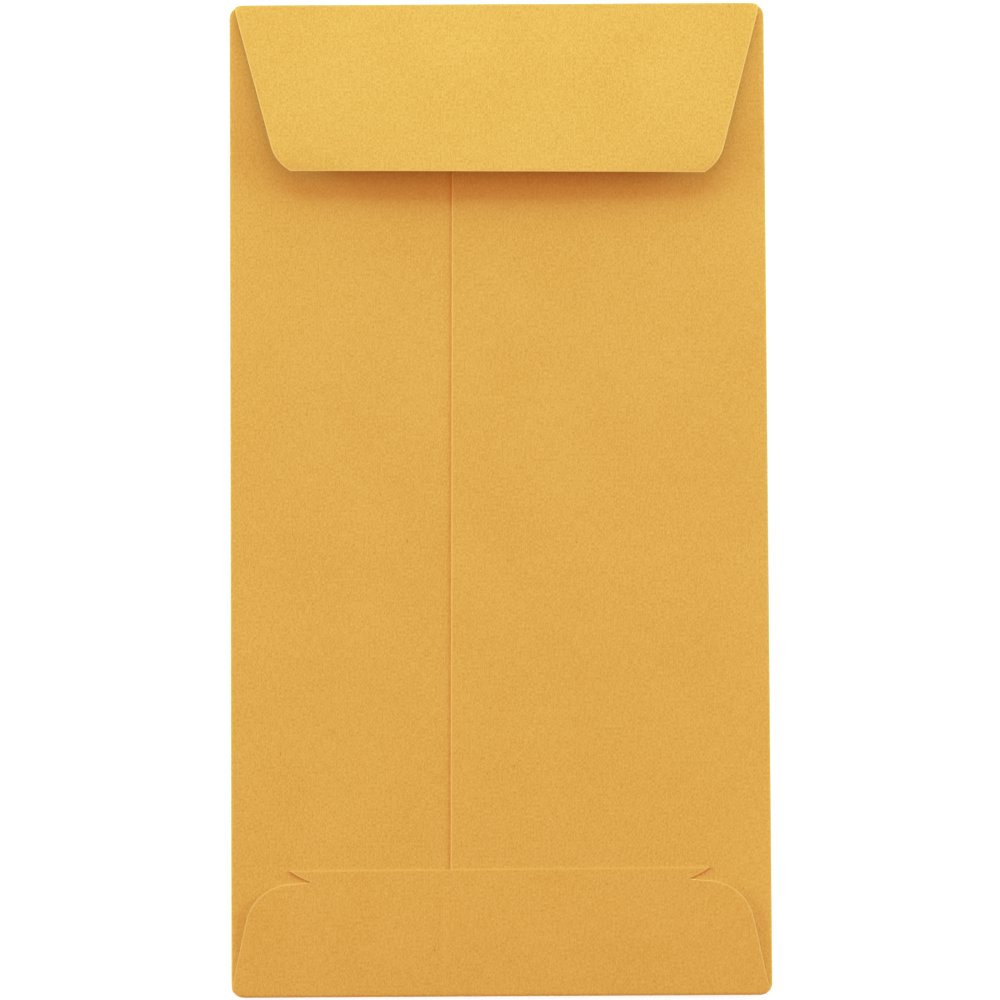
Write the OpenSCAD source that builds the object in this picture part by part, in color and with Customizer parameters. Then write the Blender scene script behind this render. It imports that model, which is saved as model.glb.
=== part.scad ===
// Open-end paper envelope in the No. 7 trade size: one die-cut kraft sheet, folded and glued.
// It lies on its front panel with the back up, and the origin is at the middle of that panel's
// face. X is across, Y points from the bottom fold to the seal fold and Z is up out of the back.
// The modules count Y from the bottom fold, and envelope() moves the whole to the origin.

/* [Envelope] */
// Width across the two side folds
body_w = 88.9; // [70:0.1:120]
// Length from the bottom fold to the seal fold
body_l = 165.1; // [110:0.1:240]
// Thickness of the sheet
sheet_t = 0.15; // [0.12:0.01:0.18]
// Clear height inside the pocket
pocket_gap = 0.6; // [0.4:0.05:0.8]
// Corner radius beside the seal fold
top_corner_r = 2.2; // [2:0.1:4]
// Corner radius beside the bottom fold
bottom_corner_r = 2; // [1.8:0.1:4]
// Length over which the back rises from each end fold to its full height
end_rise_l = 16; // [6:0.5:24]

/* [Side folds and seam] */
// Outer radius of each side fold
side_fold_r = 0.25; // [0.22:0.01:0.3]
// Width over which the back rises from a side fold to its full height
side_rise_w = 8; // [4:0.5:12]
// Seam edge measured from the middle line, negative to the left
seam_x = -8; // [-14:0.5:0]
// Width of the glued lap under the seam edge
seam_lap_w = 13; // [8:0.5:18]

/* [Seal flap] */
// Length of the seal flap from its fold to its free edge
seal_flap_l = 28.6; // [20:0.1:38]
// Step from each side fold in to the seal flap's edge at its fold
seal_inset = 0.6; // [0.5:0.1:4]
// Slant of each side edge of the seal flap, in degrees
seal_slant = 14.5; // [5:0.1:20]
// Radius of the two corners of the seal flap
seal_corner_r = 7; // [3:0.5:9]
// Depth by which the free edge cuts across the corner rounds
seal_corner_cut = 0.9; // [0.2:0.1:1.5]
// Outward bow of the free edge at the middle
seal_bow = 0.2; // [0:0.1:1]
// Lift of the free edge at the middle
seal_lift = 3.2; // [1:0.1:5]
// Lift of the free edge at its two corners
seal_corner_lift = 2.4; // [0.6:0.1:3]

/* [Bottom flap] */
// Length of the bottom flap from its fold to its top edge
bottom_flap_l = 20.9; // [20:0.05:30]
// Height of the shoulders above the bottom fold
shoulder_l = 18.75; // [14:0.05:19.5]
// Slant of each side edge of the bottom flap, in degrees
bottom_slant = 12; // [5:0.1:18]
// Radius of the two shoulders
shoulder_r = 7.8; // [3:0.1:9]
// Step from each side fold in to the tip of the ear
ear_inset = 9.9; // [8:0.05:12]
// Step from each side fold in to the inner end of the notch
notch_inset = 13.6; // [13:0.05:18]
// Radius of the curved lower edge of each ear
ear_edge_r = 14; // [6:0.5:20]

/* [Hidden] */

// Depth by which two glued faces run into each other
glue_t = 0.02;
// Air left between the seal flap and the back at the seal fold
seal_air = 0.06;
// Step from the bottom fold to the lower edge of the side flaps
back_start = 1.4;
// Step from the seal fold to the mouth edge of the side flaps
mouth_step = 1.2;
// Width over which the bottom flap steps down off the seam edge
seam_step_w = 1.5;
// Height of the notch at its inner end
notch_h = 0.25;
// Amount by which the two end folds stand inside the corners of the front panel
corner_ease = 0.03;
// Reach of cutting shapes past the sheet
cut_over = 2;
// Power that keeps the arched seal flap level over its middle
arch_power = 3;
// Share by which the rise of the seal flap eases off towards the free edge
rise_ease = 0.2;

// Counts of rows and columns in the folded strips
fold_steps = 10;
corner_steps = 3;
seal_rows = 8;
seal_round_rows = 6;
seal_cols = 26;
shoulder_rows = 8;
ear_rows = 5;
side_fold_steps = 8;
rise_steps = 8;
end_rise_steps = 8;
slant_rows = 5;
seam_steps = 6;
round_fn = 96;

half_w = body_w / 2;
fold_x = half_w - side_fold_r;
fold_h = 2 * side_fold_r;
left_top = 2 * sheet_t + pocket_gap;
right_top = left_top + sheet_t;
left_end_x = seam_x + seam_lap_w;

// Outer radius of the bottom fold, over the right side flap and over the lower left one
bottom_fold_r = (fold_h + 2 * sheet_t - glue_t) / 2;
bottom_fold_low_r = (fold_h + sheet_t - glue_t) / 2;
// Outer radius of the seal fold
seal_fold_r = (fold_h + 2 * sheet_t + seal_air) / 2;

// Centre of the seal flap's corner round: distance from the fold and from the middle line
seal_w = half_w - seal_inset;
seal_round_s = seal_flap_l + seal_corner_cut - seal_corner_r;
seal_round_x = seal_w - (seal_corner_r + sin(seal_slant) * seal_round_s) / cos(seal_slant);
seal_round_end = asin((seal_flap_l - seal_round_s) / seal_corner_r);
seal_tangent_s = seal_round_s + seal_corner_r * sin(seal_slant);

// Centre of the shoulder round, tip of the ear and inner end of the notch
shoulder_y = shoulder_l - shoulder_r;
shoulder_x = half_w - (shoulder_r + sin(bottom_slant) * shoulder_y) / cos(bottom_slant);
shoulder_tangent_y = shoulder_y + shoulder_r * sin(bottom_slant);
ear_tip = [half_w - ear_inset, bottom_flap_l];
notch_end = [half_w - notch_inset, shoulder_l + notch_h];

// Centre of the curved lower edge of the ear, above the middle of its chord
ear_half = norm(ear_tip - notch_end) / 2;
ear_rise = sqrt(pow(ear_edge_r, 2) - pow(ear_half, 2)) / (2 * ear_half);
ear_centre = (ear_tip + notch_end) / 2 + ear_rise * [notch_end[1] - ear_tip[1], ear_tip[0] - notch_end[0]];
ear_from = atan2(notch_end[1] - ear_centre[1], notch_end[0] - ear_centre[0]);
ear_to = atan2(ear_tip[1] - ear_centre[1], ear_tip[0] - ear_centre[0]);

// Smooth rise from 0 to 1
function ease(u) = (1 - cos(180 * min(max(u, 0), 1))) / 2;

// Rise from 0 to 1 that is steepest at its start
function swell(u) = let (v = min(max(u, 0), 1)) v * (2 - v);

// Half width of the sheet inside a corner of radius r, at a distance s from the fold
function corner_side(s, r) =
    half_w - corner_ease - r + sqrt(pow(r, 2) - pow(max(r - s, 0), 2));

// Place on a fold of outer radius r: distance in from the fold's outer edge, and height
function fold_point(r, turn, depth) = [r - (r - depth) * sin(turn), r - (r - depth) * cos(turn)];

// Height of the left side flap's face at a distance y from the bottom fold
function left_h(y) = fold_h + (left_top - fold_h) * swell(min(y, body_l - y) / end_rise_l);

// Triangles that close a folded strip of rows by cols points, outer skin first
function skin_faces(rows, cols) = let (n = rows * cols) concat(
    [for (i = [0:rows - 2], j = [0:cols - 2])
        let (a = i * cols + j, b = a + 1, c = a + cols, d = c + 1)
        each [[a, b, d], [a, d, c], [n + a, n + d, n + b], [n + a, n + c, n + d]]],
    [for (i = [0:rows - 2])
        let (a = i * cols, c = a + cols, b = a + cols - 1, d = c + cols - 1)
        each [[a, c, n + c], [a, n + c, n + a], [b, n + d, d], [b, n + b, n + d]]],
    [for (j = [0:cols - 2])
        let (a = j, b = j + 1, c = (rows - 1) * cols + j, d = c + 1)
        each [[a, n + a, n + b], [a, n + b, b], [c, n + d, n + c], [c, d, n + d]]]
);

// Triangles that close a tube of rows by cols points, outer skin first
function tube_faces(rows, cols) = let (n = rows * cols) concat(
    [for (i = [0:rows - 2], j = [0:cols - 1])
        let (a = i * cols + j, b = i * cols + (j + 1) % cols, c = a + cols, d = b + cols)
        each [[a, b, d], [a, d, c], [n + a, n + d, n + b], [n + a, n + c, n + d]]],
    [for (j = [0:cols - 1])
        let (a = j, b = (j + 1) % cols, c = (rows - 1) * cols + a, d = (rows - 1) * cols + b)
        each [[a, n + a, n + b], [a, n + b, b], [c, n + d, n + c], [c, d, n + d]]]
);

// Waste cut away outside one rounded corner of the front panel
module corner_waste(r) {
    translate([0, 0, -cut_over]) linear_extrude(height = right_top + 2 * cut_over) {
        difference() {
            translate([corner_ease - r, corner_ease - r]) square(r + cut_over);
            translate([corner_ease - r, corner_ease - r]) circle(r = r, $fn = round_fn);
        }
    }
}

// Front panel, side folds and the two side flaps glued along the seam
module pocket_tube() {
    function side_fold(side, depth) = [for (i = [0:side_fold_steps])
        let (turn = 180 * (side > 0 ? i : side_fold_steps - i) / side_fold_steps)
        [side * (fold_x + (side_fold_r - depth) * sin(turn)), side_fold_r - (side_fold_r - depth) * cos(turn)]];
    function rise(side, top, depth) = [for (i = [1:rise_steps])
        let (part = (side > 0 ? i : rise_steps + 1 - i) / rise_steps)
        [side * (fold_x - side_rise_w * part), fold_h + (top - fold_h) * swell(part) - depth]];
    function section(y, depth) =
        let (left = left_h(y), right = left + sheet_t, end_x = depth == 0 ? seam_x : left_end_x)
        [for (p = concat(
            side_fold(1, depth),
            rise(1, right, depth),
            [[end_x, right - depth], [end_x, left - depth]],
            rise(-1, left, depth),
            side_fold(-1, depth)
        )) [p[0], y, p[1]]];
    tube_rows = concat(
        [bottom_fold_r],
        [for (i = [1:end_rise_steps]) end_rise_l * i / end_rise_steps],
        [for (i = [end_rise_steps:-1:1]) body_l - end_rise_l * i / end_rise_steps],
        [body_l - seal_fold_r]
    );
    difference() {
        polyhedron(
            points = concat(
                [for (y = tube_rows) each section(y, 0)],
                [for (y = tube_rows) each section(y, sheet_t)]
            ),
            faces = tube_faces(len(tube_rows), len(section(0, 0))),
            convexity = 8
        );
        translate([-half_w - cut_over, -cut_over, sheet_t]) {
            cube([body_w + 2 * cut_over, back_start + cut_over, right_top]);
        }
        translate([-half_w - cut_over, body_l - mouth_step, sheet_t]) {
            cube([body_w + 2 * cut_over, mouth_step + cut_over, right_top]);
        }
        for (side = [0, 1]) {
            mirror([side, 0, 0]) {
                translate([half_w, body_l, 0]) corner_waste(top_corner_r);
                mirror([0, 1, 0]) translate([half_w, 0, 0]) corner_waste(bottom_corner_r);
            }
        }
    }
}

// Bottom fold and flap: slanted sides, round shoulders, notches and pointed ears
module bottom_flap() {
    function fold_r(x) =
        bottom_fold_r - (bottom_fold_r - bottom_fold_low_r) * ease((seam_x - x) / seam_step_w);
    function across(right_w, left_w) = concat(
        [right_w],
        [for (i = [0:seam_steps]) seam_x - seam_step_w * i / seam_steps],
        [-left_w]
    );
    function side_w(y) = min(corner_side(y, bottom_corner_r), half_w - tan(bottom_slant) * y);
    function start_row(depth) =
        let (w = corner_side(bottom_fold_r, bottom_corner_r))
        [for (x = across(w, w)) [x, bottom_fold_r + glue_t, depth]];
    function fold_row(turn, depth) =
        let (right_y = fold_point(bottom_fold_r, turn, 0)[0])
        let (left_y = fold_point(bottom_fold_low_r, turn, 0)[0])
        [for (x = across(corner_side(right_y, bottom_corner_r), corner_side(left_y, bottom_corner_r)))
            let (p = fold_point(fold_r(x), turn, depth)) [x, p[0], p[1]]];
    function flat_row(line, depth) = [for (x = across(line[0], line[0]))
        [x, line[1], 2 * fold_r(x) + left_h(line[1]) - fold_h - depth]];
    outline = concat(
        [for (i = [1:corner_steps])
            let (y = bottom_fold_r + (bottom_corner_r - bottom_fold_r) * i / corner_steps)
            [side_w(y), y]],
        [for (i = [1:slant_rows])
            let (y = bottom_corner_r + (shoulder_tangent_y - bottom_corner_r) * i / (slant_rows + 1))
            [side_w(y), y]],
        [for (i = [0:shoulder_rows])
            let (turn = bottom_slant + (90 - bottom_slant) * i / shoulder_rows)
            [shoulder_x, shoulder_y] + shoulder_r * [cos(turn), sin(turn)]],
        [for (i = [0:ear_rows])
            let (turn = ear_from + (ear_to - ear_from) * i / ear_rows)
            ear_centre + ear_edge_r * [cos(turn), sin(turn)]]
    );
    function skin(depth) = concat(
        start_row(depth),
        [for (i = [0:fold_steps]) each fold_row(180 * i / fold_steps, depth)],
        [for (line = outline) each flat_row(line, depth)]
    );
    polyhedron(
        points = concat(skin(0), skin(sheet_t)),
        faces = skin_faces(fold_steps + 2 + len(outline), seam_steps + 3),
        convexity = 6
    );
}

// Seal fold and flap: slanted sides, round corners, and an arch that lifts the free edge
module seal_flap() {
    columns = [for (j = [0:seal_cols]) sin(90 * (2 * j / seal_cols - 1))];
    outline = concat(
        [for (i = [1:seal_rows])
            let (s = seal_fold_r + (seal_tangent_s - seal_fold_r) * i / seal_rows)
            [seal_w - tan(seal_slant) * s, s]],
        [for (i = [1:seal_round_rows])
            let (turn = seal_slant + (seal_round_end - seal_slant) * i / seal_round_rows)
            [seal_round_x, seal_round_s] + seal_corner_r * [cos(turn), sin(turn)]]
    );
    function start_row(depth) = [for (c = columns)
        [c * corner_side(seal_fold_r, top_corner_r), body_l - seal_fold_r - glue_t, depth]];
    function fold_w(s, turn) = turn > 90
        ? min(corner_side(s, top_corner_r), seal_w - tan(seal_slant) * s)
        : corner_side(s, top_corner_r);
    function fold_row(turn, depth) =
        let (p = fold_point(seal_fold_r, turn, depth))
        let (w = fold_w(fold_point(seal_fold_r, turn, 0)[0], turn))
        [for (c = columns) [c * w, body_l - p[0], p[1]]];
    function share(s) = let (u = (s - seal_fold_r) / (seal_flap_l - seal_fold_r))
        u * (1 + rise_ease - rise_ease * u);
    function arch(c) =
        seal_corner_lift + (seal_lift - seal_corner_lift) * (1 - pow(abs(c), arch_power));
    function flap_row(line, depth) = [for (c = columns) [
        c * line[0],
        body_l - line[1] * (1 + seal_bow / seal_flap_l * (1 - c * c) * share(line[1])),
        2 * seal_fold_r - depth + arch(c) * share(line[1])
    ]];
    function skin(depth) = concat(
        start_row(depth),
        [for (i = [0:fold_steps]) each fold_row(180 * i / fold_steps, depth)],
        [for (line = outline) each flap_row(line, depth)]
    );
    polyhedron(
        points = concat(skin(0), skin(sheet_t)),
        faces = skin_faces(fold_steps + 2 + len(outline), len(columns)),
        convexity = 6
    );
}

module envelope() {
    color("#dcab4e")
    translate([0, -body_l / 2, 0])
    union() {
        pocket_tube();
        bottom_flap();
        seal_flap();
    }
}

envelope();
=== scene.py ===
import math

import bpy
from mathutils import Euler, Matrix, Vector


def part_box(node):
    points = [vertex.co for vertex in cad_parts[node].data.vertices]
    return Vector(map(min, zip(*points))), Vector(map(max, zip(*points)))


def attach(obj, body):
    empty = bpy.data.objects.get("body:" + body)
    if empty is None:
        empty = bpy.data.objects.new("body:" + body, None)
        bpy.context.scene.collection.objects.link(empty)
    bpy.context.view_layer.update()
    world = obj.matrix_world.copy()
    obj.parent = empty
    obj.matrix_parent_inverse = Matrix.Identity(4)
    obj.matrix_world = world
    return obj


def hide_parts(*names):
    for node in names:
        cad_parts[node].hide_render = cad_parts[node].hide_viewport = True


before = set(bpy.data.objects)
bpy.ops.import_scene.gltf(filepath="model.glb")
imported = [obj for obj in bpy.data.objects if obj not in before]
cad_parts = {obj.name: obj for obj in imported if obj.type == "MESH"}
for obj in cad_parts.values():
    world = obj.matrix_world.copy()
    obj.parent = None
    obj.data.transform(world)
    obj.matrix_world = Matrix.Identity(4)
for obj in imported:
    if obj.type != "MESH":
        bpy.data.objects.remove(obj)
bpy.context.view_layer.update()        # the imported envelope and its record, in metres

low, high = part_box("envelope")
mm = 0.001

# Millimetres and degrees from here on. Y counts from the bottom fold, X from the middle line.
sheet = {
    "width": (high.x - low.x) / mm,
    "length": (high.y - low.y) / mm,
    "thickness": 0.15,
    "pocketGap": 0.58,
    "layerGap": 0.01,        # air between two glued layers
    "endRise": 16.0,         # length over which the back rises from each end fold
    "topCornerRadius": 2.2,
    "bottomCornerRadius": 2.0,
    "cornerEase": 0.03,      # the corners beside the end folds lie this far inside the width
    "wave": 0.03,            # unevenness of the back
    "waveLength": 26.0,
    "waveStart": 1.0,        # distance past a fold from which a flap is uneven
    "waveSeed": 7.0,
    "edgeBand": 0.26,        # strip beside a cut edge that shows the lighter cut and its painted highlight
    "edgePress": 0.05,       # how far the cutting die pressed that edge down
}
sideFlaps = {
    "foldRadius": 0.25,
    "foldMargin": 0.4,       # the side folds stop this far from the end folds
    "riseWidth": 12.0,
    "seamX": -7.9,           # cut edge of the right flap, which lies over the left one
    "leftEndX": 5.0,         # cut edge of the left flap, hidden under the right one
    "bottomStep": 0.6,       # from the end folds to the two ends of the side flaps
    "mouthStep": 0.6,
    "seamSkew": 0.57,        # how far the seam leans to the right at its upper end
}
sealFlap = {
    "length": 28.6,
    "inset": 0.6,
    "slant": 14.5,
    "cornerRadius": 7.0,
    "cornerCut": 0.9,        # how much of each corner's round the free edge cuts off
    "foldAir": 0.05,
    "lift": 3.21,            # how far the free edge stands up, at its middle and at its corners
    "cornerLift": 2.4,
    "archPower": 3.0,        # the higher, the flatter the middle of the arch
    "riseEase": 0.08,        # the higher, the steeper the flap rises from its fold
    "bow": 0.06,
    "skew": -0.28,           # how much further the free edge reaches on the right
    "edgeShow": 0.35,        # share of the lighter cut and its painted highlight that the free edge shows
}
bottomFlap = {
    "length": 20.9,
    "shoulder": 18.75,
    "slant": 12.0,
    "shoulderRadius": 7.8,
    "earInset": 9.9,
    "notchInset": 13.6,
    "notchHeight": 0.25,
    "notchReach": 0.5,       # half width of the notch's end, where the cut hardly shows
    "notchShow": 0.1,
    "earRadius": 14.0,
    "seamStepWidth": 1.5,
    "shift": -0.28,          # how far the whole flap stands off the middle line
    "skew": 0.13,            # how much higher its right side lies than the middle
    "settle": 2.0,           # length past the fold over which shift and skew set in
    "edgeShow": 0.4,
    "edgePress": 0.35,       # glued down, its edge is pressed less than the others
}

# How many steps each stretch of the blank is divided into
steps = {
    "endFold": 12,           # round the bottom fold or the seal fold
    "sealSide": 18,
    "sealCorner": 14,
    "bottomCorner": 4,
    "shoulder": 16,
    "shoulderEdge": 4,
    "ear": 9,
    "endStrip": 3,           # between an end fold and the side flaps
    "bottomRise": 14,
    "middle": 60,
    "topRise": 13,
    "outerColumns": 12,      # from the fixed columns to each side
    "seamStep": 9,
    "sideFold": 8,
    "sideRise": 14,
    "sideFlap": 24,
}

halfWidth = sheet["width"] / 2
thickness = sheet["thickness"]
leftTop = 2 * thickness + sheet["pocketGap"]
rightTop = leftTop + thickness + sheet["layerGap"]
leftEnd = 2 * sideFlaps["foldRadius"]    # heights of the two side flaps at the end folds
rightEnd = leftEnd + thickness + sheet["layerGap"]
bottomRadius = (rightEnd + sheet["layerGap"] + thickness) / 2
bottomLowRadius = (leftEnd + sheet["layerGap"] + thickness) / 2
sealRadius = (rightEnd + sealFlap["foldAir"] + thickness) / 2
foldX = halfWidth - sideFlaps["foldRadius"]


def evenly(start, end, count):    # both ends and the places between them
    return [start + (end - start) * i / count for i in range(count + 1)]


def arcPoints(centre, radius, fromAngle, toAngle, count):
    return [(centre[0] + radius * math.cos(angle), centre[1] + radius * math.sin(angle))
            for angle in evenly(fromAngle, toAngle, count)]


def foldLength(radius):    # length of the middle of the sheet round a half turn
    return math.pi * (radius - thickness / 2)


def cornerPull(distance, radius):    # how far a rounded corner draws the side in
    inside = min(max(radius - distance, 0), radius)
    return radius - math.sqrt(radius ** 2 - inside ** 2)


def cornerSide(distance, radius):    # half width of the sheet at a rounded corner
    return halfWidth - sheet["cornerEase"] - cornerPull(distance, radius)


def joinX(v):    # where a side fold starts
    bottomPull = cornerPull(v, sheet["bottomCornerRadius"])
    return foldX - bottomPull - cornerPull(sheet["length"] - v, sheet["topCornerRadius"])


def levelRow(v, side, joined=False):    # inset point, cut edge, whether the side flaps join here
    return (side - sheet["edgeBand"], v), (side, v), joined


def foldRows(radius, cornerRadius, sideAt):
    # Rows round a fold: how far along the fold, and half width of the sheet there
    rows = []
    for turn in evenly(0, math.pi, steps["endFold"])[1:]:
        distance = radius * (1 - math.sin(turn))
        side = cornerSide(distance, cornerRadius)
        if turn > math.pi / 2:
            side = min(side, sideAt(distance))
        rows.append((foldLength(radius) * turn / math.pi, side))
    return rows


def sealOutline():
    # Right side of the seal flap from its fold to its free edge: inset point and cut edge
    band = sheet["edgeBand"]
    slant = math.radians(sealFlap["slant"])
    flapHalf = halfWidth - sealFlap["inset"]
    radius = sealFlap["cornerRadius"]
    centreS = sealFlap["length"] + sealFlap["cornerCut"] - radius
    centreX = flapHalf - (radius + math.sin(slant) * centreS) / math.cos(slant)
    tangentS = centreS + radius * math.sin(slant)

    def sideAt(s):
        return flapHalf - math.tan(slant) * s

    outline = []
    for s in evenly(sealRadius, tangentS, steps["sealSide"])[1:-1]:
        outline.append(((sideAt(s) - band / math.cos(slant), s), (sideAt(s), s)))
    cutEnd = math.asin((sealFlap["length"] - centreS) / radius)
    insetEnd = math.asin((sealFlap["length"] - band - centreS) / (radius - band))
    centre = (centreX, centreS)
    outline += zip(arcPoints(centre, radius - band, slant, insetEnd, steps["sealCorner"]),
                   arcPoints(centre, radius, slant, cutEnd, steps["sealCorner"]))
    return sideAt, outline


def bottomOutline():
    # Right side of the bottom flap: corner, slanted side, shoulder, notch and ear
    band = sheet["edgeBand"]
    slant = math.radians(bottomFlap["slant"])
    radius = bottomFlap["shoulderRadius"]
    centreS = bottomFlap["shoulder"] - radius
    centreX = halfWidth - (radius + math.sin(slant) * centreS) / math.cos(slant)
    tangentS = centreS + radius * math.sin(slant)

    def sideAt(s):
        return min(cornerSide(s, sheet["bottomCornerRadius"]), halfWidth - math.tan(slant) * s)

    closeStep, wideStep, lastStep = 0.35, 1.1, 1.2    # rows lie closer at the rounded corner
    stops = [bottomRadius + closeStep * i for i in range(1, steps["bottomCorner"] + 1)]
    while stops[-1] < tangentS - lastStep:
        stops.append(stops[-1] + wideStep)
    outline = [((sideAt(s) - band / math.cos(slant), s), (sideAt(s), s)) for s in stops]
    centre = (centreX, centreS)
    outline += zip(arcPoints(centre, radius - band, slant, math.pi / 2, steps["shoulder"]),
                   arcPoints(centre, radius, slant, math.pi / 2, steps["shoulder"]))

    # Along the shoulder's level edge to the notch
    notch = Vector((halfWidth - bottomFlap["notchInset"],
                    bottomFlap["shoulder"] + bottomFlap["notchHeight"]))
    shoulderEnd = Vector(outline[-1][1])
    for k in evenly(0, 1, steps["shoulderEdge"])[1:-1]:
        cut = shoulderEnd.lerp(notch, k)
        outline.append(((cut.x, cut.y - band * (1 - k)), (cut.x, cut.y)))

    # The ear's hollow side, from the notch up to its tip
    tip = Vector((halfWidth - bottomFlap["earInset"], bottomFlap["length"]))
    chord = tip - notch
    radius = bottomFlap["earRadius"]
    rise = math.sqrt(radius ** 2 - chord.length_squared / 4) / chord.length
    centre = (tip + notch) / 2 + rise * Vector((-chord.y, chord.x))
    start = math.atan2(notch.y - centre.y, notch.x - centre.x)
    cutEnd = math.atan2(tip.y - centre.y, tip.x - centre.x)
    insetEnd = math.asin((bottomFlap["length"] - band - centre.y) / (radius - band))
    outline += zip(arcPoints(centre, radius - band, start, insetEnd, steps["ear"]),
                   arcPoints(centre, radius, start, cutEnd, steps["ear"]))
    return sideAt, outline


def bottomRows():
    # Rows of the blank from the free edge of the bottom flap to the end of its fold
    sideAt, outline = bottomOutline()
    flapStart = bottomRadius - foldLength(bottomRadius)

    def down(point):    # from a distance past the fold to a place on the blank
        return point[0], flapStart - (point[1] - bottomRadius)

    endInset, endCut = outline[-1]
    rows = [(down((endInset[0], bottomFlap["length"])), down(endCut), False)]
    rows += [(down(inset), down(cut), False) for inset, cut in reversed(outline)]
    for along, side in reversed(foldRows(bottomRadius, sheet["bottomCornerRadius"], sideAt)):
        rows.append(levelRow(bottomRadius - along, side))
    return rows


def bodyRows():
    # Rows between the two end folds. The side flaps join all but the first and last few.
    length = sheet["length"]
    rise = sheet["endRise"]
    bottom = sheet["bottomCornerRadius"]
    top = length - sheet["topCornerRadius"]
    firstJoin = sideFlaps["bottomStep"]
    lastJoin = length - sideFlaps["mouthStep"]
    bottomStops = (1.1, 1.4, 1.7)    # rows in the lower corners, from the bottom end
    topStops = (0.45, 0.8, 1.1)      # rows in the upper corners, from where those start
    stops = [firstJoin, firstJoin + sheet["edgeBand"]]
    stops += bottomStops
    stops += evenly(bottom, rise, steps["bottomRise"])
    stops += evenly(rise, length - rise, steps["middle"])[1:-1]
    stops += evenly(length - rise, top, steps["topRise"])
    stops += [top + stop for stop in topStops]
    stops += [lastJoin - sheet["edgeBand"], lastJoin]

    rows = [levelRow(v, cornerSide(v, bottom))
            for v in evenly(bottomRadius, firstJoin, steps["endStrip"])[:-1]]
    rows += [levelRow(v, joinX(v), True) for v in stops]
    rows += [levelRow(v, cornerSide(length - v, sheet["topCornerRadius"]))
             for v in evenly(lastJoin, length - sealRadius, steps["endStrip"])[1:]]
    return rows


def sealRows():
    # Rows from the start of the seal fold to the flap's free edge
    sideAt, outline = sealOutline()
    foldStart = sheet["length"] - sealRadius
    flapStart = foldStart + foldLength(sealRadius)

    def up(point):    # from a distance past the fold to a place on the blank
        return point[0], flapStart + point[1] - sealRadius

    rows = [levelRow(foldStart + along, side)
            for along, side in foldRows(sealRadius, sheet["topCornerRadius"], sideAt)]
    rows += [(up(inset), up(cut), False) for inset, cut in outline]
    endInset, endCut = outline[-1]
    end = sealFlap["length"]
    rows.append((up((endInset[0], end)), up((endCut[0], end)), False))
    return rows


def centreColumns():
    # Fixed places near the middle, closer at the seam, then shares of the way to the side
    reach, columnStep = 28.0, 1.4
    rightGap, leftGap = 0.9, 1.2        # room left free for the seam's own columns
    rightMargin, leftMargin = 0.5, 1.0  # how far those reach past the step at the seam
    seam = sideFlaps["seamX"]
    step = bottomFlap["seamStepWidth"]
    fixed = evenly(-reach, reach, round(2 * reach / columnStep))
    fixed = [x for x in fixed if not seam - step - leftGap < x < seam + rightGap]
    fixed += evenly(seam + rightMargin, seam - step - leftMargin, steps["seamStep"])
    return sorted(fixed), evenly(0, 1, steps["outerColumns"])[1:], reach


class flatBlank:
    # Points of the flat blank, what each of them carries, and the faces between them
    def __init__(self):
        self.places = []
        self.across = []     # share of the half width, -1 to 1
        self.cutEdge = []    # how much of the lighter cut and its painted highlight shows
        self.pressed = []    # share of the press of the cutting die
        self.faces = []

    def add(self, place, across, cut, press=1):
        self.places.append(place)
        self.across.append(across)
        self.cutEdge.append(cut)
        self.pressed.append(cut * press)
        return len(self.places) - 1

    def fill(self, lines, turned=False):    # faces between lines of points
        for lower, upper in zip(lines, lines[1:]):
            for corners in zip(lower, lower[1:], upper[1:], upper):
                self.faces.append(corners[::-1] if turned else corners)


def addCentre(blank, rows):
    # The middle strip with both end flaps: one line of points a row, between its two cut edges
    fixed, shares, reach = centreColumns()
    notchX = halfWidth - bottomFlap["notchInset"]
    endShow = {0: bottomFlap["edgeShow"], len(rows) - 1: sealFlap["edgeShow"]}
    lines = []
    for number, (inset, cut, joined) in enumerate(rows):
        right = [reach + (inset[0] - reach) * share for share in shares]
        onBottom = cut[1] < 0
        show = 0 if joined else 1
        if onBottom and abs(cut[0] - notchX) < bottomFlap["notchReach"]:
            show = bottomFlap["notchShow"]
        press = bottomFlap["edgePress"] if onBottom else 1
        line = [blank.add((-cut[0], cut[1]), -1, show, press)]
        for x in [-x for x in reversed(right)] + fixed + right:
            line.append(blank.add((x, inset[1]), x / cut[0], endShow.get(number, 0), press))
        line.append(blank.add((cut[0], cut[1]), 1, show, press))
        lines.append(line)
    blank.fill(lines)
    return lines


def addSideFlap(blank, rows, lines, sign, endX):
    # Out from the middle strip: the fold, the rise beside it, and the level part to its cut edge
    arc = foldLength(sideFlaps["foldRadius"])
    rise = sideFlaps["riseWidth"]
    flats = evenly(foldX - rise, endX + sheet["edgeBand"], steps["sideFlap"])[1:] + [endX]
    joined = [i for i, row in enumerate(rows) if row[2]]
    flap = []
    for i in joined:
        start, v = rows[i][1]
        stops = evenly(start, start + arc, steps["sideFold"])[1:]
        stops += evenly(start + arc, start + arc + rise, steps["sideRise"])[1:-1]
        stops += [2 * start + arc - x for x in flats]
        atEnd = i in (joined[0], joined[-1])
        line = [lines[i][-1 if sign > 0 else 0]]
        for u in stops:
            line.append(blank.add((sign * u, v), sign, 1 if atEnd or u == stops[-1] else 0))
        flap.append(line)
    blank.fill(flap, turned=sign < 0)


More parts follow.
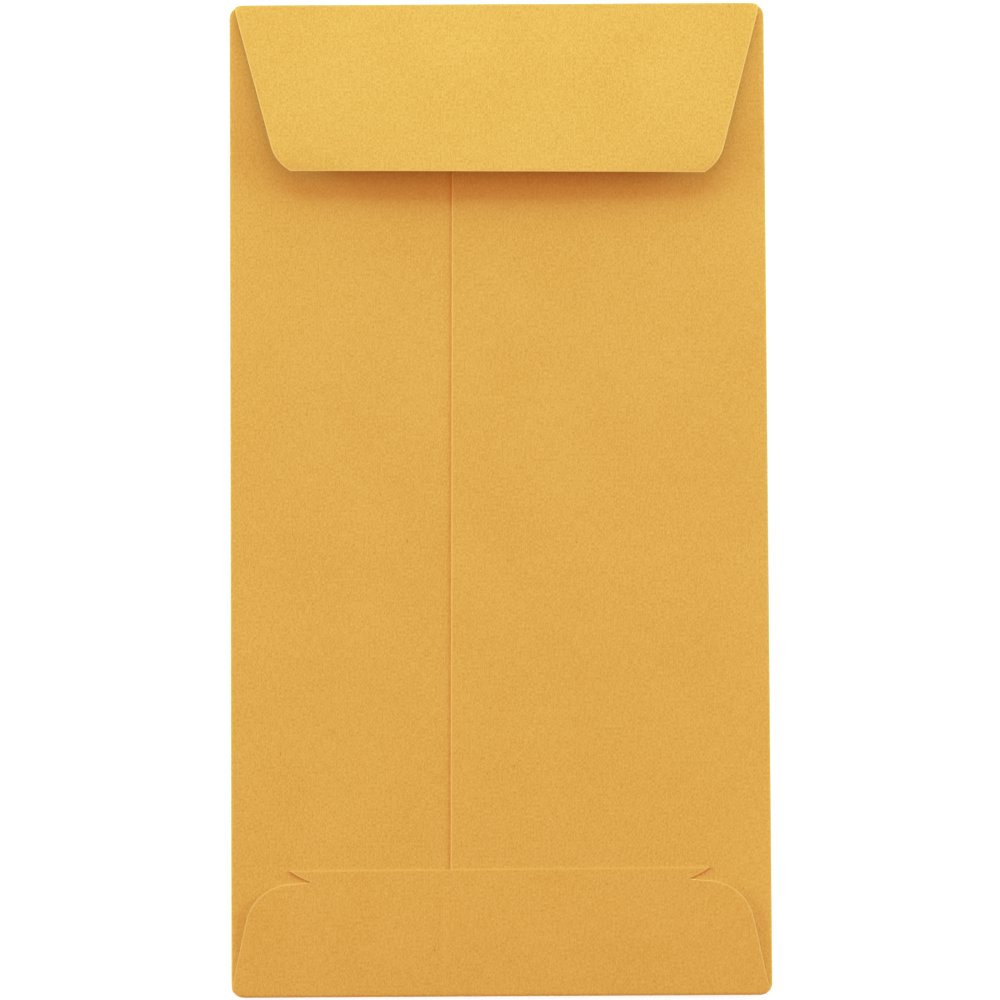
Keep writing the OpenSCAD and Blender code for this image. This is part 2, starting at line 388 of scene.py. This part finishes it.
def buildBlank():
    # The die-cut sheet, flat, outer side down: a closed solid as thick as the paper
    blank = flatBlank()
    rows = bottomRows() + bodyRows() + sealRows()
    lines = addCentre(blank, rows)
    addSideFlap(blank, rows, lines, 1, sideFlaps["seamX"])
    addSideFlap(blank, rows, lines, -1, -sideFlaps["leftEndX"])

    # Two skins and the cut edges between them
    total = len(blank.places)
    middle = sheet["length"] / 2
    depth = sheet["edgePress"] * mm
    verts = [(x * mm, (v - middle) * mm, depth * press)
             for (x, v), press in zip(blank.places, blank.pressed)]
    verts += [(x * mm, (v - middle) * mm, thickness * mm) for x, v in blank.places]
    border = {}
    for face in blank.faces:
        for a, b in zip(face, face[1:] + face[:1]):
            if (b, a) in border:
                del border[(b, a)]
            else:
                border[(a, b)] = True
    solid = [tuple(total + i for i in face) for face in blank.faces]
    solid += [face[::-1] for face in blank.faces]
    solid += [(total + b, total + a, a, b) for a, b in border]

    mesh = bpy.data.meshes.new("foldedSheet")
    mesh.from_pydata(verts, [], solid)
    mesh.update()
    for name, values in (("across", blank.across), ("cutEdge", blank.cutEdge)):
        layer = mesh.attributes.new(name, "FLOAT", "POINT")
        layer.data.foreach_set("value", values + values)
    sharp = set()
    for a, b in border:
        sharp.update(((min(a, b), max(a, b)), (total + min(a, b), total + max(a, b))))
    for edge in mesh.edges:
        edge.use_edge_sharp = tuple(sorted(edge.vertices)) in sharp
    holder = bpy.data.objects.new("foldedSheet", mesh)
    bpy.context.scene.collection.objects.link(holder)
    print("blank:", total, "points a skin,", len(solid), "faces")
    return holder


def makeNode(tree, kind, inputs):
    node = tree.nodes.new(kind)
    for name, value in inputs.items():
        node.inputs[name].default_value = value
    return node


class nodeValue:
    # A value in a node tree, so that the folding rules read as formulas
    def __init__(self, tree, socket):
        self.tree = tree
        self.socket = socket

    def make(self, operation, *others, clamp=False):
        node = self.tree.nodes.new("ShaderNodeMath")
        node.operation = operation
        node.use_clamp = clamp
        for socket, value in zip(node.inputs, (self,) + others):
            if isinstance(value, nodeValue):
                self.tree.links.new(value.socket, socket)
            else:
                socket.default_value = value
        return nodeValue(self.tree, node.outputs[0])

    def __add__(self, other):
        return self.make("ADD", other)

    def __sub__(self, other):
        return self.make("SUBTRACT", other)

    def __mul__(self, other):
        return self.make("MULTIPLY", other)

    def __truediv__(self, other):
        return self.make("DIVIDE", other)

    def __abs__(self):
        return self.make("ABSOLUTE")

    def sine(self):
        return self.make("SINE")

    def cosine(self):
        return self.make("COSINE")

    def power(self, other):
        return self.make("POWER", other)

    def above(self, other):    # 1 where it is more than the other, else 0
        return self.make("GREATER_THAN", other)

    def atLeast(self, other):
        return self.make("MAXIMUM", other)

    def atMost(self, other):
        return self.make("MINIMUM", other)

    def clamped(self):    # kept between 0 and 1
        return self.make("MULTIPLY", 1.0, clamp=True)

    def flipped(self, whole=1):    # whole minus this value
        return self.make("MULTIPLY_ADD", -1.0, whole)

    def ease(self):    # smooth rise from 0 to 1
        return (self.clamped() * math.pi).cosine().flipped() * 0.5

    def swell(self):    # rise from 0 to 1 that is steepest at its start
        part = self.clamped()
        return part * part.flipped(2.0)


def foldSettings():
    # Named inputs of the folding tree: lengths in metres, then plain numbers
    lengths = {
        "Sheet Thickness": thickness, "Body Width": sheet["width"], "Body Length": sheet["length"],
        "Top Corner Radius": sheet["topCornerRadius"],
        "Bottom Corner Radius": sheet["bottomCornerRadius"],
        "Side Fold Radius": sideFlaps["foldRadius"], "Side Fold Margin": sideFlaps["foldMargin"],
        "Side Rise Width": sideFlaps["riseWidth"],
        "Left Flap Height": leftTop, "Right Flap Height": rightTop,
        "Left End Height": leftEnd, "Right End Height": rightEnd, "End Rise": sheet["endRise"],
        "Seam Position": sideFlaps["seamX"], "Seam Skew": sideFlaps["seamSkew"],
        "Bottom Fold Radius": bottomRadius, "Bottom Fold Low Radius": bottomLowRadius,
        "Seam Step Width": bottomFlap["seamStepWidth"],
        "Bottom Shift": bottomFlap["shift"], "Bottom Skew": bottomFlap["skew"],
        "Bottom Settle": bottomFlap["settle"],
        "Seal Fold Radius": sealRadius, "Seal Flap Length": sealFlap["length"],
        "Seal Lift": sealFlap["lift"], "Seal Corner Lift": sealFlap["cornerLift"],
        "Seal Bow": sealFlap["bow"], "Seal Skew": sealFlap["skew"],
        "Wave Height": sheet["wave"], "Wave Length": sheet["waveLength"],
        "Wave Start": sheet["waveStart"],
    }
    settings = {name: value * mm for name, value in lengths.items()}
    settings["Arch Power"] = sealFlap["archPower"]
    settings["Rise Ease"] = sealFlap["riseEase"]
    settings["Wave Seed"] = sheet["waveSeed"]
    return settings


def makeFoldTree(material, settings):
    # Folds the flat blank: side flaps first, then the bottom flap, then the seal flap
    tree = bpy.data.node_groups.new("foldBlank", "GeometryNodeTree")
    tree.interface.new_socket(name="Blank", in_out="INPUT", socket_type="NodeSocketGeometry")
    tree.interface.new_socket(name="Folded", in_out="OUTPUT", socket_type="NodeSocketGeometry")
    for name, value in settings.items():
        socket = tree.interface.new_socket(name=name, in_out="INPUT", socket_type="NodeSocketFloat")
        socket.default_value = value

    start = tree.nodes.new("NodeGroupInput")
    given = {name: nodeValue(tree, start.outputs[name]) for name in settings}
    place = tree.nodes.new("GeometryNodeInputPosition")
    split = tree.nodes.new("ShaderNodeSeparateXYZ")
    tree.links.new(place.outputs[0], split.inputs[0])
    u, v, depth = (nodeValue(tree, split.outputs[i]) for i in range(3))
    shareNode = makeNode(tree, "GeometryNodeInputNamedAttribute", {"Name": "across"})
    shareNode.data_type = "FLOAT"
    across = nodeValue(tree, shareNode.outputs["Attribute"])

    sheetT = given["Sheet Thickness"]
    halfW = given["Body Width"] * 0.5
    halfL = given["Body Length"] * 0.5
    sideR = given["Side Fold Radius"]
    bottomR = given["Bottom Fold Radius"]
    sealR = given["Seal Fold Radius"]
    flapL = given["Seal Flap Length"]

    def zone(radius):    # length of the middle of the sheet round a half turn
        return (radius - sheetT * 0.5) * math.pi

    def pull(radius, distance):    # how far a rounded corner draws the side fold in
        inside = (radius - distance).atLeast(0.0).atMost(radius)
        return radius - (radius * radius - inside * inside).make("SQRT")

    def bend(past, radius):    # turn round a fold, and the distance past it
        turn = (past / zone(radius)).clamped() * math.pi
        return turn, (past - zone(radius)).atLeast(0.0)

    def endShape(distance):    # rise of the back from an end fold
        return ((distance - bottomR) / given["End Rise"]).swell()

    def between(first, second, share):
        return first + (second - first) * share

    # Side flaps: only they reach past the side folds, and their points have a share of 1
    flapShare = 0.9999
    reach = abs(u)
    sign = u.make("SIGN")
    foldStart = halfW - sideR
    foldStart = foldStart - pull(given["Top Corner Radius"], halfL - v)
    foldStart = foldStart - pull(given["Bottom Corner Radius"], halfL + v)
    betweenEnds = abs(v).make("LESS_THAN", halfL - given["Side Fold Margin"])
    sidePast = (reach - foldStart).atLeast(0.0) * abs(across).above(flapShare) * betweenEnds
    turn, over = bend(sidePast, sideR)
    crease = turn.sine()
    x = sign * (reach - sidePast + (sideR - depth) * turn.sine() - over)
    onRight = u.above(0.0)
    lean = given["Seam Skew"] / halfL
    x = x + lean * v * onRight * over / (halfW - given["Seam Position"])
    ends = between(given["Left End Height"], given["Right End Height"], onRight)
    top = between(given["Left Flap Height"], given["Right Flap Height"], onRight)
    top = between(ends, top, endShape(halfL - abs(v)))
    raised = (top - sideR * 2.0) * (over / given["Side Rise Width"]).swell()
    z = sideR - (sideR - depth) * turn.cosine() + raised

    # Bottom fold: lower on the left, where only one layer lies under the flap
    past = (bottomR - halfL - v).atLeast(0.0)
    turn, onBottom = bend(past, bottomR)
    crease = crease + turn.sine()
    y = v + past + onBottom - (bottomR - depth) * turn.sine()
    drop = ((given["Seam Position"] + lean * y - u) / given["Seam Step Width"]).ease()
    foldR = bottomR - (bottomR - given["Bottom Fold Low Radius"]) * drop
    z = z + foldR - (foldR - depth) * turn.cosine() - depth
    lie = endShape(y + halfL) * onBottom.above(0.0)
    z = z + (given["Left Flap Height"] - given["Left End Height"]) * lie
    settled = (onBottom / given["Bottom Settle"]).ease()
    x = x + given["Bottom Shift"] * settled
    y = y + given["Bottom Skew"] * across * settled

    # Seal fold: the flap arches up to its free edge
    past = (v - halfL + sealR).atLeast(0.0)
    turn, over = bend(past, sealR)
    crease = (crease + turn.sine()).atMost(1.0)
    along = over / (flapL - sealR)
    share = along * (given["Rise Ease"] + 1.0 - given["Rise Ease"] * along)
    arch = abs(across).power(given["Arch Power"]).flipped()
    lift = between(given["Seal Corner Lift"], given["Seal Lift"], arch)
    bow = (over + sealR) / flapL * given["Seal Bow"] * (across * across).flipped() * share
    y = y - past - over - bow + (sealR - depth) * turn.sine()
    y = y + given["Seal Skew"] * across * along
    z = z + sealR - (sealR - depth) * turn.cosine() - depth + lift * share

    # Slight unevenness of the back and of what is glued to it
    flat = tree.nodes.new("ShaderNodeCombineXYZ")
    noise = makeNode(tree, "ShaderNodeTexNoise", {"Detail": 1.0})
    noise.noise_dimensions = "4D"
    tree.links.new(flat.outputs[0], noise.inputs["Vector"])
    tree.links.new(given["Wave Seed"].socket, noise.inputs["W"])
    tree.links.new(given["Wave Length"].power(-1.0).socket, noise.inputs["Scale"])
    noiseSwing = 4.0    # spreads the noise to about -1 to 1
    wave = (nodeValue(tree, noise.outputs[0]) - 0.5) * noiseSwing * given["Wave Height"]
    nearSide = ((foldStart - abs(x)) / given["Side Rise Width"]).ease()
    z = z + wave * nearSide * (sidePast + onBottom).above(given["Wave Start"])

    folded = tree.nodes.new("ShaderNodeCombineXYZ")
    for node, values in ((flat, (x, y)), (folded, (x, y, z))):
        for socket, value in zip(node.inputs, values):
            tree.links.new(value.socket, socket)

    def keep(name, kind, socket):    # stores a value on the sheet, for the paper's material
        node = makeNode(tree, "GeometryNodeStoreNamedAttribute", {"Name": name})
        node.data_type = kind
        node.domain = "POINT"
        tree.links.new(socket, node.inputs["Value"])
        return node

    keepFlat = keep("flatPlace", "FLOAT_VECTOR", place.outputs[0])
    keepCrease = keep("crease", "FLOAT", crease.socket)
    move = tree.nodes.new("GeometryNodeSetPosition")
    tree.links.new(folded.outputs[0], move.inputs["Position"])
    smooth = tree.nodes.new("GeometryNodeSetShadeSmooth")
    realize = tree.nodes.new("GeometryNodeRealizeInstances")
    paint = makeNode(tree, "GeometryNodeSetMaterial", {"Material": material})
    end = tree.nodes.new("NodeGroupOutput")
    chain = (start, keepFlat, keepCrease, move, smooth, realize, paint, end)
    for before, after in zip(chain, chain[1:]):
        tree.links.new(before.outputs[0], after.inputs[0])
    return tree


def foldBlank(blank, material):
    settings = foldSettings()
    tree = makeFoldTree(material, settings)
    modifier = blank.modifiers.new("fold", "NODES")
    modifier.node_group = tree
    identifiers = {item.name: item.identifier for item in tree.interface.items_tree
                   if item.item_type == "SOCKET" and item.in_out == "INPUT"}
    for name, value in settings.items():
        modifier[identifiers[name]] = value
    graph = bpy.context.evaluated_depsgraph_get()
    evaluated = blank.evaluated_get(graph)
    folded = bpy.data.meshes.new_from_object(evaluated, preserve_all_data_layers=True, depsgraph=graph)
    flatMesh = blank.data
    blank.modifiers.remove(modifier)
    blank.data = folded
    bpy.data.meshes.remove(flatMesh)
    folded.name = "foldedSheet"
    print("folded:", len(folded.vertices), "points, materials", [m.name for m in folded.materials])
    return blank


# Kraft finish: colours are linear, sizes in millimetres
kraft = {
    "colour": (0.774, 0.465, 0.086),    # the pattern goes from this colour to the deeper one
    "deepColour": (0.680, 0.357, 0.046),
    # Cut edges: partly lighter cut fibres, partly a painted highlight
    "cutAndHighlightColour": (0.840, 0.520, 0.130),
    "edgePower": 0.7,        # below 1, the lighter cut and its painted highlight reach further in
    "creaseColour": (0.420, 0.235, 0.050),
    "crease": 0.65,          # share of that colour where a fold is sharpest
    # Layers of the pattern: size, detail, scale along the sheet, place, contrast, share in the bump
    "layers": {
        "grain": (0.21, 1.0, 0.48, (17.0, 11.9), 2.4, 0.5),
        "fibres": (0.42, 2.0, 0.22, (0.0, 0.0), 0.95, 0.7),
        "mottle": (1.8, 3.0, 0.6, (3.1, 2.17), 0.3, 0.6),
        "cloud": (14.0, 2.0, 0.8, (7.7, 5.39), 0.48, 0),
    },
    "specks": (0.45, 1.0, 0.4, (11.0, 7.7)),
    "speckColour": (0.520, 0.260, 0.040),
    "speckStart": 0.73,      # only the highest peaks of their noise are specks
    "speckSlope": 8.0,
    "roughness": 0.85,
    "specular": 0.08,
    "bumpHeight": 0.012,
}


def emptyTree(owner):    # node tree of a material or a world, without its usual nodes
    owner.use_nodes = True
    owner.node_tree.nodes.clear()
    return owner.node_tree


def makeKraft():
    material = bpy.data.materials.new("kraftPaper")
    tree = emptyTree(material)

    def attribute(name, output):
        node = tree.nodes.new("ShaderNodeAttribute")
        node.attribute_name = name
        return node.outputs[output]

    flatPlace = attribute("flatPlace", "Vector")

    def noise(size, detail, along, place):
        mapping = makeNode(tree, "ShaderNodeMapping", {"Scale": (1, along, 1), "Location": place + (0,)})
        node = makeNode(tree, "ShaderNodeTexNoise", {"Scale": 1 / (size * mm), "Detail": detail})
        tree.links.new(flatPlace, mapping.inputs["Vector"])
        tree.links.new(mapping.outputs[0], node.inputs["Vector"])
        return nodeValue(tree, node.outputs[0])

    def mix(factor, first, second):
        node = tree.nodes.new("ShaderNodeMix")
        node.data_type = "RGBA"
        node.clamp_factor = True
        factorIn, firstIn, secondIn = (node.inputs[i] for i in (0, 6, 7))    # for colours
        tree.links.new(factor.socket, factorIn)
        if isinstance(first, tuple):
            firstIn.default_value = first + (1,)
        else:
            tree.links.new(first, firstIn)
        secondIn.default_value = second + (1,)
        return node.outputs[2]

    tones, heights = [], []
    for size, detail, along, place, contrast, bumpShare in kraft["layers"].values():
        pattern = noise(size, detail, along, place)
        tones.append((pattern - 0.5) * contrast)
        if bumpShare:
            heights.append(pattern * bumpShare)
    tone = sum(tones[1:], tones[0]) + 0.5
    height = sum(heights[1:], heights[0])

    specks = ((noise(*kraft["specks"]) - kraft["speckStart"]) * kraft["speckSlope"]).clamped()
    cut = nodeValue(tree, attribute("cutEdge", "Fac")).power(kraft["edgePower"])
    pressed = nodeValue(tree, attribute("crease", "Fac")) * kraft["crease"]
    colour = mix(tone, kraft["colour"], kraft["deepColour"])
    colour = mix(specks, colour, kraft["speckColour"])
    # Lighter cut fibres and a painted highlight along the cut edges
    colour = mix(cut, colour, kraft["cutAndHighlightColour"])
    colour = mix(pressed, colour, kraft["creaseColour"])

    bump = makeNode(tree, "ShaderNodeBump", {"Distance": kraft["bumpHeight"] * mm, "Strength": 1.0})
    shader = makeNode(tree, "ShaderNodeBsdfPrincipled", {
        "Roughness": kraft["roughness"], "Specular IOR Level": kraft["specular"]})
    out = tree.nodes.new("ShaderNodeOutputMaterial")
    tree.links.new(height.socket, bump.inputs["Height"])
    tree.links.new(bump.outputs[0], shader.inputs["Normal"])
    tree.links.new(colour, shader.inputs["Base Color"])
    tree.links.new(shader.outputs[0], out.inputs["Surface"])
    return material


# Camera of the photographed view: place in metres, Y from the middle of the envelope
camera = {
    "place": (-0.001852, -0.151334, 1.372993),
    "tilt": 6.26742,         # degrees from looking straight down, towards the seal fold
    "sideTilt": -0.0529,
    "turn": -0.31913,
    "lens": 300.591,
    "shift": (-0.0008, 0.0006),
    "sensor": 36.0,
    "clipEnd": 20.0,
}


def makeCamera():
    data = bpy.data.cameras.new("viewCamera")
    data.sensor_fit = "AUTO"
    data.sensor_width = camera["sensor"]
    data.lens = camera["lens"]
    data.shift_x, data.shift_y = camera["shift"]
    data.clip_end = camera["clipEnd"]
    holder = bpy.data.objects.new("viewCamera", data)
    angles = Euler([math.radians(camera[name]) for name in ("tilt", "sideTilt", "turn")], "XYZ")
    holder.matrix_world = Matrix.Translation(camera["place"]) @ angles.to_matrix().to_4x4()
    bpy.context.scene.collection.objects.link(holder)
    bpy.context.scene.camera = holder


# Soft panels, low at the two sides and higher at the top end, and a weak strip for the bottom
# fold: azimuth from +Y towards +X, elevation, distance and size in metres, power in watts.
# The panels are cool and the fill is warm, as the photographed shadow is redder than the lit paper.
lights = {
    "panels": {
        "topPanel": (0, 18.0, 0.65, (1.3, 0.39), 6.9),
        "leftPanel": (-80, 11.0, 0.9, (0.68, 0.24), 12.6),
        "rightPanel": (80, 11.0, 0.9, (0.68, 0.24), 13.2),
        "frontStrip": (180, 0.6, 0.2, (0.25, 0.003), 0.17),
    },
    "panelColour": (0.42, 1.0, 1.38),
    "fillColour": (5.1, 1.0, 0.0),
    "fillStrength": 0.132,
    "background": (1.0, 1.0, 1.0),
}


def splitByCamera(tree, lit, seen, outputKind):
    # The first shader lights the scene, and the second is what the camera sees
    path = tree.nodes.new("ShaderNodeLightPath")
    pick = tree.nodes.new("ShaderNodeMixShader")
    out = tree.nodes.new(outputKind)
    tree.links.new(path.outputs["Is Camera Ray"], pick.inputs[0])
    tree.links.new(lit.outputs[0], pick.inputs[1])
    tree.links.new(seen.outputs[0], pick.inputs[2])
    tree.links.new(pick.outputs[0], out.inputs["Surface"])


def makeLights():
    for name, (azimuth, elevation, distance, size, power) in lights["panels"].items():
        data = bpy.data.lights.new(name, "AREA")
        data.shape = "RECTANGLE"
        data.size, data.size_y = size
        data.energy = power
        data.color = lights["panelColour"]
        turn, rise = math.radians(azimuth), math.radians(elevation)
        level = math.cos(rise)
        place = Vector((math.sin(turn) * level, math.cos(turn) * level, math.sin(rise)))
        panel = bpy.data.objects.new(name, data)
        panel.location = place * distance
        panel.rotation_euler = place.to_track_quat("Z", "Y").to_euler()
        bpy.context.scene.collection.objects.link(panel)

    world = bpy.data.worlds.new("studio")
    bpy.context.scene.world = world
    tree = emptyTree(world)
    fill = makeNode(tree, "ShaderNodeBackground", {
        "Color": lights["fillColour"] + (1,), "Strength": lights["fillStrength"]})
    white = makeNode(tree, "ShaderNodeBackground", {
        "Color": lights["background"] + (1,), "Strength": 1.0})
    splitByCamera(tree, fill, white, "ShaderNodeOutputWorld")


# The floor lies just under the paper, which keeps the two faces apart
floor = {
    "half": 3.0,             # metres
    "drop": 0.02,            # millimetres
    "colour": (0.9, 0.9, 0.9),
    "seenColour": (0.3, 0.3, 0.3),    # for the camera: less of the shadow, over a glow
    "glow": 0.85,
}


def makeFloor():
    half, level = floor["half"], -floor["drop"] * mm
    mesh = bpy.data.meshes.new("floor")
    corners = [(x * half, y * half, level) for x, y in ((-1, -1), (1, -1), (1, 1), (-1, 1))]
    mesh.from_pydata(corners, [], [(0, 1, 2, 3)])
    plane = bpy.data.objects.new("floor", mesh)
    bpy.context.scene.collection.objects.link(plane)
    material = bpy.data.materials.new("paleFloor")
    tree = emptyTree(material)
    diffuse = makeNode(tree, "ShaderNodeBsdfDiffuse", {"Color": floor["colour"] + (1,)})
    faint = makeNode(tree, "ShaderNodeBsdfDiffuse", {"Color": floor["seenColour"] + (1,)})
    glow = makeNode(tree, "ShaderNodeEmission", {"Strength": floor["glow"]})
    seen = tree.nodes.new("ShaderNodeAddShader")
    tree.links.new(faint.outputs[0], seen.inputs[0])
    tree.links.new(glow.outputs[0], seen.inputs[1])
    splitByCamera(tree, diffuse, seen, "ShaderNodeOutputMaterial")
    mesh.materials.append(material)


makeCamera()
makeLights()
makeFloor()
print("stage: camera, lights and floor ready")

envelope = foldBlank(buildBlank(), makeKraft())
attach(envelope, "root")
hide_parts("envelope")
print("envelope: folded and placed")

scene = bpy.context.scene
scene.view_settings.view_transform = "Standard"
